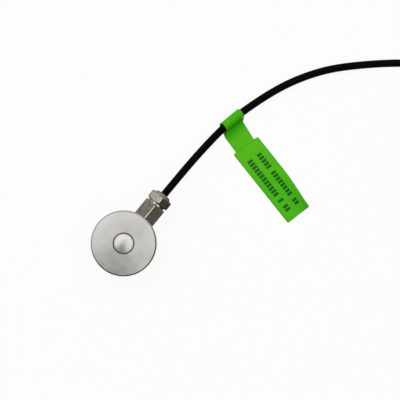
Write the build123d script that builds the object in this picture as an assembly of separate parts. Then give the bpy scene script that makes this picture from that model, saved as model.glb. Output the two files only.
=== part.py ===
"""Button load cell: a turned steel puck with a domed load button, a hexagonal cable gland on its
side, and three metres of thin round cable with a flag label.

Millimetres, +Z up. The origin is the centre of the puck's bottom face. The cable leaves the puck at
PORT_ANGLE from +X and lies on the surface that the puck stands on.
"""

from build123d import *
from math import asin, atan2, cos, degrees, pi, radians, sin, sqrt, tan
import os

# Puck
BODY_DIAMETER = 26.0
BODY_HEIGHT = 12.0
TOP_CHAMFER = 0.5
BASE_CHAMFER = 0.3

# Load button, and the groove that sets it off from the top face
BUTTON_DIAMETER = 7.5
BUTTON_SHOULDER = 0.35
DOME_HEIGHT = 0.75
GROOVE_WIDTH = 0.55
GROOVE_DEPTH = 0.8

# Cavity: a thick membrane over it, with a boss under the button
MEMBRANE_THICKNESS = 2.6
CAVITY_DIAMETER = 13.8
BOSS_DIAMETER = 6.0
BOSS_LENGTH = 1.5

# Bottom cover, welded into its recess
COVER_DIAMETER = 16.4
COVER_THICKNESS = 0.8
COVER_INSET = 0.2
COVER_CHAMFER = 0.2

# Tapped mounting holes in the base, M3 tapping size
MOUNT_CIRCLE = 21.0
MOUNT_COUNT = 3
MOUNT_DRILL = 2.5
MOUNT_DEPTH = 4.0
DRILL_POINT_ANGLE = 118.0

# Circuit board ring, seated against a ledge in the cavity
BOARD_DIAMETER = 14.9
BOARD_HOLE = 6.6
BOARD_THICKNESS = 0.8
BOARD_LEDGE_HEIGHT = 4.0

# Foil gauges under the membrane
GAUGE_COUNT = 4
GAUGE_LENGTH = 2.4
GAUGE_WIDTH = 1.8
GAUGE_THICKNESS = 0.1

# Chip resistors under the board
RESISTOR_LENGTH = 1.6
RESISTOR_WIDTH = 0.8
RESISTOR_THICKNESS = 0.5

# Side port for the cable gland
PORT_ANGLE = 50.5
PORT_HEIGHT = 6.0
PORT_FLAT_DEPTH = 1.0
SPOTFACE_DIAMETER = 10.8
O_RING_SEAT_DIAMETER = 8.0
O_RING_SEAT_DEPTH = 0.7
O_RING_ROUNDING = 0.2

# Gland body: a shank in the port, a long hexagon and a threaded neck
SHANK_DIAMETER = 6.0
SHANK_BOARD_GAP = 0.35
HEX_ACROSS_FLATS = 8.9
HEX_CHAMFER_ANGLE = 30.0
HEX_CHAMFER_INSET = 0.4
HEX_LENGTH = 7.8
NECK_DIAMETER = 7.0
NECK_LENGTH = 3.0
GLAND_BORE = 3.3
BODY_HEX_TURN = 1.0

# Sealing sleeve and washer, in a pocket at the end of the neck
SEAL_POCKET_DIAMETER = 5.2
SEAL_POCKET_DEPTH = 4.5
SEAL_LENGTH = 4.0
WASHER_THICKNESS = 0.6
WASHER_HOLE = 3.4

# Compression nut with a domed end
NUT_GAP = 0.6
NUT_HEX_LENGTH = 3.6
NUT_LENGTH = 4.6
NUT_MOUTH = 3.6
NUT_DOME_RADIUS = 1.6
NUT_DOME_ROOT = 1.0
NUT_LIP_RADIUS = 2.0
NUT_HEX_TURN = 5.5

# Cable
CABLE_DIAMETER = 3.0
CABLE_SETBACK = 1.2
CABLE_STRAIGHT_PAST = 2.0

# Leads inside the cavity
INNER_LEAD_DIAMETER = 0.6
INNER_LEAD_SPACING = 0.9
INNER_LEAD_STUB = 2.2
PAD_RADIUS = 5.5
PAD_STEP_ANGLE = 26.0
LEAD_COLOURS = ["red", "black", "green", "white"]
LEAD_PLACES = [1.5, 0.5, -0.5, -1.5]

# Flag label
LABEL_PLACE = (43.1, 48.75)
LABEL_HEIGHT = 2.0
LABEL_CABLE_ANGLE = 40.0
LABEL_HEADING = -53.4
LABEL_LOOP_LENGTH = 9.3
LABEL_FILM = 0.2
LABEL_LOOP_CLEARANCE = 0.25
LABEL_NECK_SHIFT = -1.6
LABEL_NECK_WIDTH = 9.5
LABEL_NECK_LENGTH = 10.9
LABEL_FLAG_WIDTH = 12.1
LABEL_FLAG_LENGTH = 34.7
LABEL_FLAG_TURN = 1.7
LABEL_CORNER = 0.8
LABEL_NEAR_CORNER = 0.2
LABEL_DOUBLE = 0.3

# The upper film leaves the loop steeply and sweeps out onto the neck
LABEL_LEAVE_ANGLE = 15.0
LABEL_SWEEP_RADIUS = 1.5

# The flag's far corner has curled up from the surface
LABEL_FLAT_LENGTH = 10.0
LABEL_FLAT_WIDTH = 4.2
LABEL_CURL_ANGLES = [1.5, 20.0, 48.0, 62.0]

# Coil of the cable's stored length: turns side by side in layers
COIL_CENTRE = (142.0, 43.6)
COIL_OUTER_TURN = 27.0
COIL_INNER_TURN = 9.0
COIL_LAYERS = 4
COIL_SLACK = 0.3
COIL_VALLEY = 0.1
COIL_ENTRY_ANGLE = 88.0
COIL_ENTRY_LENGTH = 20.0
COIL_ENTRY_RUN = 14.0
COIL_EXIT_LENGTH = 16.0
COIL_EXIT_RUN = 11.0
COIL_ROUNDING = 1.0

# Stripped end of the cable
END_LEAD_DIAMETER = 0.8
END_LEAD_SPACING = 1.2
END_LEAD_LENGTH = 20.0
END_LEAD_GAP = 5.4
END_LEAD_STUB = 4.0
END_LEAD_DROP = 12.0
TIP_DIAMETER = 0.5
TIP_LENGTH = 4.0
PIGTAIL_DIAMETER = 0.8
PIGTAIL_LENGTH = 14.0
PIGTAIL_STUB = 3.5
PIGTAIL_DROP = 9.1
PIGTAIL_LEAN = 0.6

# Clearance between pieces that slide into each other
FIT = 0.05


def along_port(distance, height=PORT_HEIGHT, aside=0.0):
    """A point at a distance from the puck's axis towards the gland, and to the left of that way."""
    way = radians(PORT_ANGLE)
    return (
        distance * cos(way) - aside * sin(way),
        distance * sin(way) + aside * cos(way),
        height,
    )


def port_plane(distance):
    """A plane across the port: its Z runs outwards, its Y runs up."""
    way = radians(PORT_ANGLE)
    return Plane(
        origin=along_port(distance),
        x_dir=(-sin(way), cos(way), 0),
        z_dir=(cos(way), sin(way), 0),
    )


# Heights in the puck that several pieces share
CAVITY_CEILING = BODY_HEIGHT - MEMBRANE_THICKNESS
COVER_TOP = COVER_INSET + COVER_THICKNESS
BOARD_BOTTOM = BOARD_LEDGE_HEIGHT - BOARD_THICKNESS

# Stations along the gland's axis, measured from the puck's axis
PORT_FACE = BODY_DIAMETER / 2 - PORT_FLAT_DEPTH
SHANK_START = BOARD_DIAMETER / 2 + SHANK_BOARD_GAP
SHANK_LENGTH = PORT_FACE - SHANK_START
CABLE_START = SHANK_START + CABLE_SETBACK
HEX_END = PORT_FACE + HEX_LENGTH
NECK_END = HEX_END + NECK_LENGTH
SEAL_START = NECK_END - SEAL_POCKET_DEPTH
SEAL_END = SEAL_START + SEAL_LENGTH
WASHER_END = SEAL_END + WASHER_THICKNESS
NUT_START = HEX_END + NUT_GAP
NUT_END = NUT_START + NUT_LENGTH
CABLE_STRAIGHT = NUT_END + CABLE_STRAIGHT_PAST
HEX_CORNER_RADIUS = HEX_ACROSS_FLATS / 2 / cos(radians(30))

# The loop of the label hangs from the cable, just clear of the surface under it
LOOP_INNER = CABLE_DIAMETER / 2 + LABEL_LOOP_CLEARANCE
LOOP_OUTER = LOOP_INNER + LABEL_FILM
LABEL_BOTTOM = LABEL_HEIGHT - LOOP_OUTER

# A plane across the loop: its X runs up and its Y runs out towards the flag
LOOP_PLANE = Plane(
    origin=(LABEL_PLACE[0], LABEL_PLACE[1], LABEL_HEIGHT),
    x_dir=(0, 0, 1),
    z_dir=(cos(radians(LABEL_CABLE_ANGLE)), sin(radians(LABEL_CABLE_ANGLE)), 0),
)

# Heading of the cable where it meets the coil, which turns clockwise seen from above
CABLE_REST = CABLE_DIAMETER / 2
COIL_HEADING = COIL_ENTRY_ANGLE - 90.0


def on_coil(angle, radius, height):
    """A point on a turn of the coil."""
    return (
        COIL_CENTRE[0] + radius * cos(radians(angle)),
        COIL_CENTRE[1] + radius * sin(radians(angle)),
        height,
    )


def step_back(point, heading, distance):
    """The point a distance behind another one, on a level line with that heading."""
    return (
        point[0] - distance * cos(radians(heading)),
        point[1] - distance * sin(radians(heading)),
        point[2],
    )


COIL_ENTRY = step_back(
    on_coil(COIL_ENTRY_ANGLE, COIL_OUTER_TURN, CABLE_REST), COIL_HEADING, COIL_ENTRY_LENGTH
)
COIL_TOP_TURN = CABLE_REST + (COIL_LAYERS - 1) * CABLE_DIAMETER
COIL_EXIT = step_back(on_coil(0, COIL_OUTER_TURN, COIL_TOP_TURN), 90.0, COIL_EXIT_LENGTH)

# Route of the free cable, as the corners of its bends
CABLE_ROUTE = [
    along_port(CABLE_START),
    along_port(CABLE_STRAIGHT),
    (28.9, 34.9, 2.6),
    (41.9, 48.3, LABEL_HEIGHT),
    (55.1, 57.9, 1.7),
    (66.7, 64.4, CABLE_REST),
    (80.2, 69.1, CABLE_REST),
    (94.5, 71.0, CABLE_REST),
    step_back(COIL_ENTRY, COIL_HEADING, COIL_ENTRY_RUN),
    COIL_ENTRY,
]

# Route of the cable's free end, from the top of the coil down to the surface
TAIL_ROUTE = [
    COIL_EXIT,
    step_back(COIL_EXIT, 90.0, COIL_EXIT_RUN),
    (164.2, 4.4, 4.4),
    (152.2, -4.2, CABLE_REST),
    (138.2, -5.6, CABLE_REST),
]


def turn_between(before, corner, after):
    """Degrees by which a route turns at a corner."""
    return (Vector(*corner) - Vector(*before)).get_angle(Vector(*after) - Vector(*corner))


def bend_radii(route):
    """The largest arcs that the runs beside each corner allow."""
    radii = []
    for before, corner, after in zip(route, route[1:], route[2:]):
        shorter = min(
            (Vector(*corner) - Vector(*before)).length,
            (Vector(*after) - Vector(*corner)).length,
        )
        radii.append(0.45 * shorter / tan(radians(turn_between(before, corner, after) / 2)))
    return radii


def tube(route, diameter):
    """A round rod along a route of straight runs and tangent arcs."""
    path = FilletPolyline(*route, radius=bend_radii(route))
    section = Plane(origin=path @ 0, z_dir=path % 0) * Circle(diameter / 2)
    return sweep(section, path=path)


def rod(plane, radius, length):
    """A round rod from a plane, along its normal."""
    return extrude(plane * Circle(radius), amount=length)


def ring(plane, outer, inner, length):
    """A round ring from a plane, along its normal."""
    return extrude(plane * (Circle(outer) - Circle(inner)), amount=length)


def sensor_body():
    """The puck, turned in one piece with its load button, then drilled for the port and mounts."""
    body_r = BODY_DIAMETER / 2
    cavity_r = CAVITY_DIAMETER / 2
    boss_r = BOSS_DIAMETER / 2
    button_r = BUTTON_DIAMETER / 2
    groove_r = button_r + GROOVE_WIDTH
    board_r = BOARD_DIAMETER / 2 + FIT
    cover_r = COVER_DIAMETER / 2
    crown = BODY_HEIGHT + BUTTON_SHOULDER + DOME_HEIGHT
    dome_r = (button_r**2 + DOME_HEIGHT**2) / (2 * DOME_HEIGHT)
    half_angle = asin(button_r / dome_r) / 2
    outline = Polyline(
        (0, crown),
        (0, CAVITY_CEILING - BOSS_LENGTH),
        (boss_r, CAVITY_CEILING - BOSS_LENGTH),
        (boss_r, CAVITY_CEILING),
        (cavity_r, CAVITY_CEILING),
        (cavity_r, BOARD_LEDGE_HEIGHT),
        (board_r, BOARD_LEDGE_HEIGHT),
        (board_r, COVER_TOP),
        (cover_r, COVER_TOP),
        (cover_r, 0),
        (body_r - BASE_CHAMFER, 0),
        (body_r, BASE_CHAMFER),
        (body_r, BODY_HEIGHT - TOP_CHAMFER),
        (body_r - TOP_CHAMFER, BODY_HEIGHT),
        (groove_r, BODY_HEIGHT),
        (groove_r, BODY_HEIGHT - GROOVE_DEPTH),
        (button_r, BODY_HEIGHT - GROOVE_DEPTH),
        (button_r, BODY_HEIGHT + BUTTON_SHOULDER),
    )
    dome = ThreePointArc(
        (button_r, BODY_HEIGHT + BUTTON_SHOULDER),
        (dome_r * sin(half_angle), crown - dome_r * (1 - cos(half_angle))),
        (0, crown),
    )
    body = revolve(Plane.XZ * make_face(outline + dome), axis=Axis.Z)

    body -= rod(port_plane(PORT_FACE), SPOTFACE_DIAMETER / 2, BODY_DIAMETER)
    body -= rod(port_plane(PORT_FACE - O_RING_SEAT_DEPTH), O_RING_SEAT_DIAMETER / 2, BODY_DIAMETER)
    bore_start = (BOSS_DIAMETER + CAVITY_DIAMETER) / 4
    body -= rod(port_plane(bore_start), SHANK_DIAMETER / 2, BODY_DIAMETER)

    drill_r = MOUNT_DRILL / 2
    point = drill_r / tan(radians(DRILL_POINT_ANGLE / 2))
    drill = Polyline(
        (0, 0), (drill_r, 0), (drill_r, MOUNT_DEPTH), (0, MOUNT_DEPTH + point), (0, 0)
    )
    hole = revolve(Plane.XZ * make_face(drill), axis=Axis.Z)
    first = PORT_ANGLE + 180.0 / MOUNT_COUNT
    for spot in PolarLocations(MOUNT_CIRCLE / 2, MOUNT_COUNT, start_angle=first):
        body -= spot * hole
    return body


def base_cover():
    """The disc that closes the cavity, with a broken edge for the weld."""
    disc = rod(Plane.XY.offset(COVER_INSET), COVER_DIAMETER / 2 - FIT, COVER_THICKNESS)
    lower_edge = disc.edges().filter_by(GeomType.CIRCLE).sort_by(Axis.Z)[0]
    return chamfer(lower_edge, COVER_CHAMFER)


def strain_gauge(number):
    """One foil gauge, bonded under the membrane between the boss and the cavity's wall."""
    middle = (BOSS_DIAMETER + CAVITY_DIAMETER) / 4
    angle = PORT_ANGLE + 360.0 / GAUGE_COUNT * (number - 0.5)
    foil = Box(
        GAUGE_LENGTH, GAUGE_WIDTH, GAUGE_THICKNESS, align=(Align.CENTER, Align.CENTER, Align.MAX)
    )
    return Rot(0, 0, angle) * Pos(middle, 0, CAVITY_CEILING) * foil


def bridge_board():
    """The ring-shaped board, its top face against the ledge."""
    return ring(
        Plane.XY.offset(BOARD_BOTTOM), BOARD_DIAMETER / 2, BOARD_HOLE / 2, BOARD_THICKNESS
    )


def trim_resistor(side):
    """One chip resistor on the board's underside, to the left or the right of the port."""
    middle = (BOARD_DIAMETER + BOARD_HOLE) / 4
    chip = Box(
        RESISTOR_WIDTH,
        RESISTOR_LENGTH,
        RESISTOR_THICKNESS,
        align=(Align.CENTER, Align.CENTER, Align.MAX),
    )
    return Rot(0, 0, PORT_ANGLE + side * 90) * Pos(middle, 0, BOARD_BOTTOM) * chip


def lead_offsets(spacing):
    """The four leads' places round the cable's centre, as (aside, up)."""
    half = spacing / 2
    return [(half, half), (half, -half), (-half, -half), (-half, half)]


def inner_lead(number):
    """One lead from the cable's end to its pad on top of the board."""
    aside, up = lead_offsets(INNER_LEAD_SPACING)[number]
    pad_angle = radians(LEAD_PLACES[number] * PAD_STEP_ANGLE)
    height = PORT_HEIGHT + up
    pad = (PAD_RADIUS * cos(pad_angle), PAD_RADIUS * sin(pad_angle))
    route = [
        along_port(CABLE_START, height, aside),
        along_port(CABLE_START - INNER_LEAD_STUB, height, aside),
        along_port(pad[0], height, pad[1]),
        along_port(pad[0], BOARD_LEDGE_HEIGHT, pad[1]),
    ]
    return tube(route, INNER_LEAD_DIAMETER)


def port_o_ring():
    """The ring under the gland's shoulder, squeezed nearly square in its seat."""
    squeezed = ring(
        port_plane(PORT_FACE - O_RING_SEAT_DEPTH),
        O_RING_SEAT_DIAMETER / 2 - FIT,
        SHANK_DIAMETER / 2,
        O_RING_SEAT_DEPTH,
    )
    return chamfer(squeezed.edges().filter_by(GeomType.CIRCLE), O_RING_ROUNDING)


def hexagon(start, length, turn, chamfer_start, chamfer_end):
    """A hexagonal bar with one corner near the top, its ends chamfered in the lathe."""
    corner_turn = 90.0 + turn - 60.0
    bar = extrude(
        port_plane(start) * RegularPolygon(HEX_CORNER_RADIUS, 6, rotation=corner_turn),
        amount=length,
    )
    # The chamfer starts just inside the flats and runs out past the corners
    face_r = HEX_ACROSS_FLATS / 2 - HEX_CHAMFER_INSET
    outer_r = HEX_CORNER_RADIUS + HEX_CHAMFER_INSET
    slope = (outer_r - face_r) * tan(radians(HEX_CHAMFER_ANGLE))
    points = [(0, 0)]
    if chamfer_start:
        points += [(face_r, 0), (outer_r, slope)]
    else:
        points += [(outer_r, 0)]
    if chamfer_end:
        points += [(outer_r, length - slope), (face_r, length)]
    else:
        points += [(outer_r, length)]
    points += [(0, length), (0, 0)]
    blank = revolve(Plane.XZ * make_face(Polyline(*points)), axis=Axis.Z)
    return bar & (port_plane(start) * blank)


def gland_body():
    """Shank, hexagon and threaded neck in one turned piece, with the sleeve's pocket."""
    body = rod(port_plane(SHANK_START), SHANK_DIAMETER / 2 - FIT, SHANK_LENGTH + HEX_LENGTH / 2)
    body += hexagon(PORT_FACE, HEX_LENGTH, BODY_HEX_TURN, False, True)
    body += rod(port_plane(HEX_END - HEX_LENGTH / 2), NECK_DIAMETER / 2, HEX_LENGTH / 2 + NECK_LENGTH)
    body -= rod(port_plane(SHANK_START), GLAND_BORE / 2, NECK_END - SHANK_START)
    body -= rod(port_plane(SEAL_START), SEAL_POCKET_DIAMETER / 2, SEAL_POCKET_DEPTH)
    return body


def gland_seal():
    """The rubber sleeve that grips the cable."""
    return ring(
        port_plane(SEAL_START), SEAL_POCKET_DIAMETER / 2 - FIT, CABLE_DIAMETER / 2, SEAL_LENGTH
    )


def gland_washer():
    """The washer between the sleeve and the nut's shoulder."""
    return ring(
        port_plane(SEAL_END), SEAL_POCKET_DIAMETER / 2 - FIT, WASHER_HOLE / 2, WASHER_THICKNESS
    )


def gland_nut():
    """The compression nut: a hexagon, a domed end and the cable's mouth."""
    dome_top = NUT_LENGTH
    centre = dome_top - NUT_DOME_RADIUS
    widest = NUT_LIP_RADIUS + NUT_DOME_RADIUS
    middle = NUT_DOME_RADIUS * cos(radians(45))
    root = centre - NUT_DOME_ROOT
    sides = Polyline(
        (NUT_LIP_RADIUS, dome_top), (0, dome_top), (0, root), (widest, root), (widest, centre)
    )
    crown = ThreePointArc(
        (widest, centre), (NUT_LIP_RADIUS + middle, centre + middle), (NUT_LIP_RADIUS, dome_top)
    )
    dome = revolve(Plane.XZ * make_face(sides + crown), axis=Axis.Z)
    nut = hexagon(NUT_START, NUT_HEX_LENGTH, NUT_HEX_TURN, True, True)
    nut += port_plane(NUT_START) * dome
    nut -= rod(port_plane(NUT_START), NECK_DIAMETER / 2 + FIT, WASHER_END - NUT_START)
    nut -= rod(port_plane(NUT_START), NUT_MOUTH / 2, NUT_LENGTH)
    return nut


def cable():
    """The free cable, from the cavity to the coil."""
    return tube(CABLE_ROUTE, CABLE_DIAMETER)


def label_loop():
    """The film round the cable, and where its two ends come together on the neck."""
    lean = radians(LABEL_LEAVE_ANGLE)
    neck_top = LABEL_DOUBLE - LOOP_OUTER
    leave = Vector(LOOP_OUTER * sin(lean), LOOP_OUTER * cos(lean))
    drop = leave.X - neck_top - LABEL_SWEEP_RADIUS * (1 - sin(lean))
    sweep_start = leave + Vector(-drop, drop * tan(lean))
    centre = sweep_start + Vector(LABEL_SWEEP_RADIUS * sin(lean), LABEL_SWEEP_RADIUS * cos(lean))
    halfway = (radians(180) + radians(270) - lean) / 2
    middle = centre + LABEL_SWEEP_RADIUS * Vector(cos(halfway), sin(halfway))
    foot = centre + Vector(-LABEL_SWEEP_RADIUS, 0)
    outline = Polyline(
        sweep_start, leave, (0, 0), (-LOOP_OUTER, 0), (-LOOP_OUTER, foot.Y), foot
    )
    sweep = ThreePointArc(foot, middle, sweep_start)
    profile = Circle(LOOP_OUTER) + make_face(outline + sweep)
    return extrude(LOOP_PLANE * profile, amount=LABEL_LOOP_LENGTH / 2, both=True)


def curled_section(distance, angle):
    """The flag's section at a distance along it: flat, then an arc that ends at that slope."""
    free = LABEL_FLAG_WIDTH - LABEL_FLAT_WIDTH
    radius = free / radians(angle)
    thick = LABEL_DOUBLE
    half, full = radians(angle / 2), radians(angle)
    flat = LABEL_FLAT_WIDTH

    def on_arc(turn, height):
        """A point of the curl, at a height over the film's lower face."""
        return (flat + (radius - height) * sin(turn), radius - (radius - height) * cos(turn))

    lower = Line((0, 0), (flat, 0)) + ThreePointArc((flat, 0), on_arc(half, 0), on_arc(full, 0))
    edge = Line(on_arc(full, 0), on_arc(full, thick))
    upper = ThreePointArc(on_arc(full, thick), on_arc(half, thick), (flat, thick))
    back = Polyline((flat, thick), (0, thick), (0, 0))
    plane = Plane(origin=(distance, -LABEL_FLAG_WIDTH / 2, 0), x_dir=(0, 1, 0), z_dir=(1, 0, 0))
    return plane * make_face(lower + edge + upper + back)


def label_flag():
    """The flag along X from its middle: flat by the neck, its far left corner curled up."""
    near = (Align.MIN, Align.CENTER, Align.MIN)
    flat = Box(LABEL_FLAT_LENGTH, LABEL_FLAG_WIDTH, LABEL_DOUBLE, align=near)
    flat = fillet(flat.edges().filter_by(Axis.Z).group_by(Axis.X)[0], LABEL_NEAR_CORNER)
    step = (LABEL_FLAG_LENGTH - LABEL_FLAT_LENGTH) / (len(LABEL_CURL_ANGLES) - 1)
    sections = [
        curled_section(LABEL_FLAT_LENGTH + number * step, angle)
        for number, angle in enumerate(LABEL_CURL_ANGLES)
    ]
    curl = loft(sections)
    far_end = curl.faces().sort_by(Axis.X)[-1]
    corners = [edge for edge in far_end.edges() if abs(edge.length - LABEL_DOUBLE) < FIT]
    return flat + fillet(corners, LABEL_CORNER)


def flag_label():
    """The flag: film round the cable, stuck to itself as a narrow neck and a wider flag."""
    origin = step_back((*LABEL_PLACE, LABEL_BOTTOM), LABEL_CABLE_ANGLE, -LABEL_NECK_SHIFT)
    neck_end = step_back(origin, LABEL_HEADING, -LABEL_NECK_LENGTH)
    neck = Box(
        LABEL_NECK_LENGTH, LABEL_NECK_WIDTH, LABEL_DOUBLE, align=(Align.MIN, Align.CENTER, Align.MIN)
    )
    label = label_loop()
    label += Pos(*origin) * Rot(0, 0, LABEL_HEADING) * neck
    label += Pos(*neck_end) * Rot(0, 0, LABEL_HEADING + LABEL_FLAG_TURN) * label_flag()
    label -= extrude(LOOP_PLANE * Circle(LOOP_INNER), amount=LABEL_LOOP_LENGTH, both=True)
    return label


def cable_coil():
    """The stored turns as one ring, with the cable's straight ways in and out."""
    outer = COIL_OUTER_TURN + CABLE_DIAMETER / 2 + COIL_SLACK
    inner = COIL_INNER_TURN - CABLE_DIAMETER / 2 - COIL_SLACK
    height = COIL_LAYERS * CABLE_DIAMETER - 2 * COIL_VALLEY
    coil = ring(Plane(origin=(*COIL_CENTRE, COIL_VALLEY)), outer, inner, height)
    coil = chamfer(coil.edges().filter_by(GeomType.CIRCLE), COIL_ROUNDING)
    way_in = Plane(
        origin=COIL_ENTRY, z_dir=(cos(radians(COIL_HEADING)), sin(radians(COIL_HEADING)), 0)
    )
    way_out = Plane(origin=COIL_EXIT, z_dir=(0, 1, 0))
    coil += rod(way_in, CABLE_DIAMETER / 2, COIL_ENTRY_LENGTH)
    coil += rod(way_out, CABLE_DIAMETER / 2, COIL_EXIT_LENGTH)
    return coil


def cable_tail():
    """The free end of the cable, off the coil and down to the surface."""
    return tube(TAIL_ROUTE, CABLE_DIAMETER)


# Frame of the stripped end: its Z runs out of the sheath
END_HEADING = degrees(
    atan2(TAIL_ROUTE[-1][1] - TAIL_ROUTE[-2][1], TAIL_ROUTE[-1][0] - TAIL_ROUTE[-2][0])
)


def past_end(distance, aside, up):
    """A point past the sheath's end, aside to the left of the cable's heading."""
    way = radians(END_HEADING)
    end = TAIL_ROUTE[-1]
    return (
        end[0] + distance * cos(way) - aside * sin(way),
        end[1] + distance * sin(way) + aside * cos(way),
        end[2] + up,
    )


def end_lead_route(number):
    """A stripped lead: straight out of the sheath, then down to the surface and apart."""
    aside, up = lead_offsets(END_LEAD_SPACING)[number]
    spread = LEAD_PLACES[number] * END_LEAD_GAP
    down = END_LEAD_DIAMETER / 2 - CABLE_REST
    return [
        past_end(0, aside, up),
        past_end(END_LEAD_STUB, aside, up),
        past_end(END_LEAD_DROP, (aside + spread) / 2, down),
        past_end(END_LEAD_LENGTH, spread, down),
    ]


def end_lead(number):
    """One insulated lead of the stripped end."""
    return tube(end_lead_route(number), END_LEAD_DIAMETER)


def lead_tips():
    """The tinned ends of the four leads."""
    tips = []
    for number in range(len(LEAD_COLOURS)):
        before, end = end_lead_route(number)[-2:]
        way = Vector(*end) - Vector(*before)
        tips.append(rod(Plane(origin=end, z_dir=way), TIP_DIAMETER / 2, TIP_LENGTH))
    return Compound(children=tips)


def shield_pigtail():
    """The twisted screen, out of the sheath's centre."""
    down = PIGTAIL_DIAMETER / 2 - CABLE_REST
    route = [
        past_end(0, 0, 0),
        past_end(PIGTAIL_STUB, 0, 0),
        past_end(PIGTAIL_DROP, 0, down),
        past_end(PIGTAIL_LENGTH, PIGTAIL_LEAN, down),
    ]
    return tube(route, PIGTAIL_DIAMETER)


def all_pieces():
    """Every piece by its name."""
    pieces = {
        "sensor_body": sensor_body(),
        "base_cover": base_cover(),
        "bridge_board": bridge_board(),
        "trim_resistor_1": trim_resistor(1),
        "trim_resistor_2": trim_resistor(-1),
        "port_o_ring": port_o_ring(),
        "gland_body": gland_body(),
        "gland_seal": gland_seal(),
        "gland_washer": gland_washer(),
        "gland_nut": gland_nut(),
        "cable": cable(),
        "flag_label": flag_label(),
        "cable_coil": cable_coil(),
        "cable_tail": cable_tail(),
        "shield_pigtail": shield_pigtail(),
        "lead_tips": lead_tips(),
    }
    for number in range(1, GAUGE_COUNT + 1):
        pieces[f"strain_gauge_{number}"] = strain_gauge(number)
    for number, colour in enumerate(LEAD_COLOURS):
        pieces[f"inner_lead_{colour}"] = inner_lead(number)
        pieces[f"end_lead_{colour}"] = end_lead(number)
    return pieces


def report_tube(name, route, solid):
    """Print a tube's bends, and its volume against its section times its length."""
    length = FilletPolyline(*route, radius=bend_radii(route)).length
    section = pi * (CABLE_DIAMETER / 2) ** 2
    print(name, "radii", [round(r, 1) for r in bend_radii(route)], "length", round(length, 1))
    print(name, "volume", round(solid.volume, 2), "of", round(section * length, 2))


os.makedirs("parts", exist_ok=True)
PIECES = all_pieces()
for piece_name, piece in PIECES.items():
    export_step(piece, f"parts/{piece_name}.step")
report_tube("cable", CABLE_ROUTE, PIECES["cable"])
report_tube("cable_tail", TAIL_ROUTE, PIECES["cable_tail"])
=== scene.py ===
# %% [markdown]
# # A button load cell, its cable and its flag label
# A load cell weighs: a force pressed on the domed button bends a steel membrane by a few
# thousandths of a millimetre, and foil gauges under it turn the bend into a small voltage.
# The solids of the sensor come from its CAD model. This lesson gives them their finish, and makes
# the pieces that a CAD model keeps plain: the cable, the film label, threads, a weld and a tie.
#
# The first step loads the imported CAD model. Its nodes stay where they are, and every new piece is
# made in the same frame, in metres, with the origin under the middle of the puck.

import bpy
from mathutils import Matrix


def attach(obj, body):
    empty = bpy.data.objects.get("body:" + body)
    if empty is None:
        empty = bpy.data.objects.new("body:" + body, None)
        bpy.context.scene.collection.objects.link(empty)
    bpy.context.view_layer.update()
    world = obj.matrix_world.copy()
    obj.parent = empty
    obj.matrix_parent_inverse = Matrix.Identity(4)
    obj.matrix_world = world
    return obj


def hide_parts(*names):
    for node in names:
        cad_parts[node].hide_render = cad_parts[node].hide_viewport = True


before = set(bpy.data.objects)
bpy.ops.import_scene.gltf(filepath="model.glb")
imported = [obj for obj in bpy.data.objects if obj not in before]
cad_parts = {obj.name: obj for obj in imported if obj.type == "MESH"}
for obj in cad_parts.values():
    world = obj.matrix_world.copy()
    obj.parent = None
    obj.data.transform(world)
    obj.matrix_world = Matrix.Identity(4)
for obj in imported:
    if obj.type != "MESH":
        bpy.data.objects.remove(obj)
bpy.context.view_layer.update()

# %% Tools of the lesson
from math import atan2, cos, pi, radians, sin, sqrt, tau

import bpy
import numpy as np
from mathutils import Vector

MM = 0.001


def new_object(name, data):
    """An object for a mesh, curve, lamp or camera, in the scene."""
    made = bpy.data.objects.new(name, data)
    bpy.context.scene.collection.objects.link(made)
    return made


# %% [markdown]
# ## Camera
# The photograph looks straight down from far away: no side wall of the puck can be seen, and its
# rings are all concentric. A long lens a metre above the table gives the same flat view. A
# picture of 400 pixels then covers about 160 mm of the table, and X runs to the right in it.

# %% Camera straight above the table
CAMERA_HEIGHT = 1000 * MM
PICTURE_WIDTH = 159.5 * MM
PICTURE_CENTRE = (30.12 * MM, 17.12 * MM)

camera_data = bpy.data.cameras.new("camera")
camera_data.sensor_width = 36.0
camera_data.lens = camera_data.sensor_width * CAMERA_HEIGHT / PICTURE_WIDTH
camera_data.clip_start = 10 * MM
camera_data.clip_end = 100.0
camera = new_object("camera", camera_data)
camera.location = (*PICTURE_CENTRE, CAMERA_HEIGHT)
bpy.context.scene.camera = camera
bpy.context.scene.view_settings.view_transform = "Standard"
print("lens:", round(camera_data.lens, 1), "mm")

# %% [markdown]
# ## Colours and nodes
# Colours are written as sRGB hex values, as read from a screen, and one function turns them to
# the linear values that the renderer works with. One small function adds a node of any kind with
# its settings, and sets or links its inputs. The patterns that most finishes share are written once:
# speckles of a real size, layers of colour over each other, and a surface with its fine relief.

# %% Colour, node and material helpers
FINE_RELIEF = 0.01 * MM
METAL = {"Metallic": 1.0}


def linear(hex_colour):
    """The linear colour of an sRGB hex value."""
    parts = [int(hex_colour[i:i + 2], 16) / 255 for i in (1, 3, 5)]
    return (*[c / 12.92 if c <= 0.04045 else ((c + 0.055) / 1.055) ** 2.4 for c in parts], 1.0)


def add(tree, kind, inputs=None, out=0, **settings):
    """Adds a node with its settings and inputs, and gives its output, or the node if out is None."""
    node = tree.nodes.new(kind)
    for name, value in settings.items():
        setattr(node, name, value)
    for key, value in (inputs or {}).items():
        if isinstance(value, bpy.types.NodeSocket):
            tree.links.new(value, node.inputs[key])
        else:
            node.inputs[key].default_value = value
    return node if out is None else node.outputs[out]


def material(name, shader):
    """A material whose surface is the socket that shader(tree) returns."""
    made = bpy.data.materials.new(name)
    made.use_nodes = True
    tree = made.node_tree
    tree.nodes.clear()
    add(tree, "ShaderNodeOutputMaterial", {"Surface": shader(tree)}, out=None)
    return made


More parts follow.
